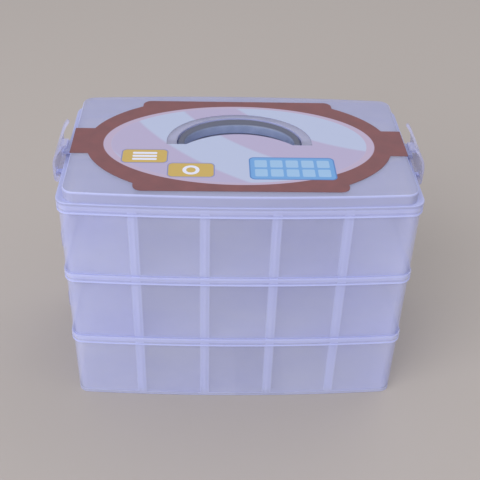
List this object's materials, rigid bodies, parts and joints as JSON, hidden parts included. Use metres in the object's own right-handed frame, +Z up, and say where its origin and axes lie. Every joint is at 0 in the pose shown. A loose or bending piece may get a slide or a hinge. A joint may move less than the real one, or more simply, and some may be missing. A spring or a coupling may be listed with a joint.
{
  "type": "stacking storage case",
  "caption": "Milky stacking storage case of divided trays under a lift-off lid, with a fold-down carrying handle and hook latches at both ends.",
  "frame": {"origin": "on the surface the case stands on, under the middle of the case", "axes": "+X to the right along the long side, +Y away from the front, +Z up"},
  "size_m": [0.339, 0.185, 0.2518],
  "materials": {
    "tier_plastic": "milky, see-through polypropylene with a satin face",
    "divider_plastic": "milky, see-through polypropylene plate",
    "lid_plastic": "milky, see-through polypropylene with a satin face",
    "latch_plastic": "milky polypropylene with a satin face",
    "handle_plastic": "grey-blue polypropylene with a fine grain",
    "card_print": "printed card with a thin gloss"
  },
  "bodies": {
    "bottom_tray": {"tier_bottom": "tier_plastic", "divider_bottom_front_1": "divider_plastic", "divider_bottom_front_2": "divider_plastic", "divider_bottom_front_3": "divider_plastic", "divider_bottom_front_4": "divider_plastic", "divider_bottom_back_1": "divider_plastic", "divider_bottom_back_2": "divider_plastic", "divider_bottom_back_3": "divider_plastic", "divider_bottom_back_4": "divider_plastic"},
    "middle_tray": {"tier_middle": "tier_plastic", "divider_middle_front_1": "divider_plastic", "divider_middle_front_2": "divider_plastic", "divider_middle_front_3": "divider_plastic", "divider_middle_front_4": "divider_plastic", "divider_middle_back_1": "divider_plastic", "divider_middle_back_2": "divider_plastic", "divider_middle_back_3": "divider_plastic", "divider_middle_back_4": "divider_plastic"},
    "top_tray": {"tier_top": "tier_plastic", "divider_top_front_1": "divider_plastic", "divider_top_front_2": "divider_plastic", "divider_top_front_3": "divider_plastic", "divider_top_front_4": "divider_plastic", "divider_top_back_1": "divider_plastic", "divider_top_back_2": "divider_plastic", "divider_top_back_3": "divider_plastic", "divider_top_back_4": "divider_plastic"},
    "lid": {"lid": "lid_plastic", "label_card": "card_print"},
    "handle": {"handle": "handle_plastic"},
    "latch_bottom_left": {"latch_bottom_left": "latch_plastic"},
    "latch_bottom_right": {"latch_bottom_right": "latch_plastic"},
    "latch_middle_left": {"latch_middle_left": "latch_plastic"},
    "latch_middle_right": {"latch_middle_right": "latch_plastic"},
    "latch_top_left": {"latch_top_left": "latch_plastic"},
    "latch_top_right": {"latch_top_right": "latch_plastic"}
  },
  "joints": [
    {"name": "middle_tray_lift", "type": "slide", "parent": "bottom_tray", "child": "middle_tray", "axis": [0, 0, 1], "range_m": [0, 0.1]},
    {"name": "top_tray_lift", "type": "slide", "parent": "middle_tray", "child": "top_tray", "axis": [0, 0, 1], "range_m": [0, 0.1]},
    {"name": "lid_lift", "type": "slide", "parent": "top_tray", "child": "lid", "axis": [0, 0, 1], "range_m": [0, 0.1]},
    {"name": "handle_turn", "type": "hinge", "parent": "lid", "child": "handle", "pos_m": [0, 0.001, 0.2375], "axis": [1, 0, 0], "range_deg": [0, 95]},
    {"name": "latch_bottom_left_turn", "type": "hinge", "parent": "bottom_tray", "child": "latch_bottom_left", "pos_m": [-0.1663, 0, 0.068], "axis": [0, -1, 0], "range_deg": [0, 150]},
    {"name": "latch_bottom_right_turn", "type": "hinge", "parent": "bottom_tray", "child": "latch_bottom_right", "pos_m": [0.1663, 0, 0.068], "axis": [0, 1, 0], "range_deg": [0, 150]},
    {"name": "latch_middle_left_turn", "type": "hinge", "parent": "middle_tray", "child": "latch_middle_left", "pos_m": [-0.1663, 0, 0.1435], "axis": [0, -1, 0], "range_deg": [0, 150]},
    {"name": "latch_middle_right_turn", "type": "hinge", "parent": "middle_tray", "child": "latch_middle_right", "pos_m": [0.1663, 0, 0.1435], "axis": [0, 1, 0], "range_deg": [0, 150]},
    {"name": "latch_top_left_turn", "type": "hinge", "parent": "top_tray", "child": "latch_top_left", "pos_m": [-0.1663, 0, 0.219], "axis": [0, -1, 0], "range_deg": [0, 150]},
    {"name": "latch_top_right_turn", "type": "hinge", "parent": "top_tray", "child": "latch_top_right", "pos_m": [0.1663, 0, 0.219], "axis": [0, 1, 0], "range_deg": [0, 150]}
  ],
  "couplings": [
    {"joint": "latch_bottom_left_turn", "follows": "middle_tray_lift", "rad_per_m": 26.1},
    {"joint": "latch_bottom_right_turn", "follows": "middle_tray_lift", "rad_per_m": 26.1},
    {"joint": "latch_middle_left_turn", "follows": "top_tray_lift", "rad_per_m": 26.1},
    {"joint": "latch_middle_right_turn", "follows": "top_tray_lift", "rad_per_m": 26.1},
    {"joint": "latch_top_left_turn", "follows": "lid_lift", "rad_per_m": 26.1},
    {"joint": "latch_top_right_turn", "follows": "lid_lift", "rad_per_m": 26.1}
  ]
}
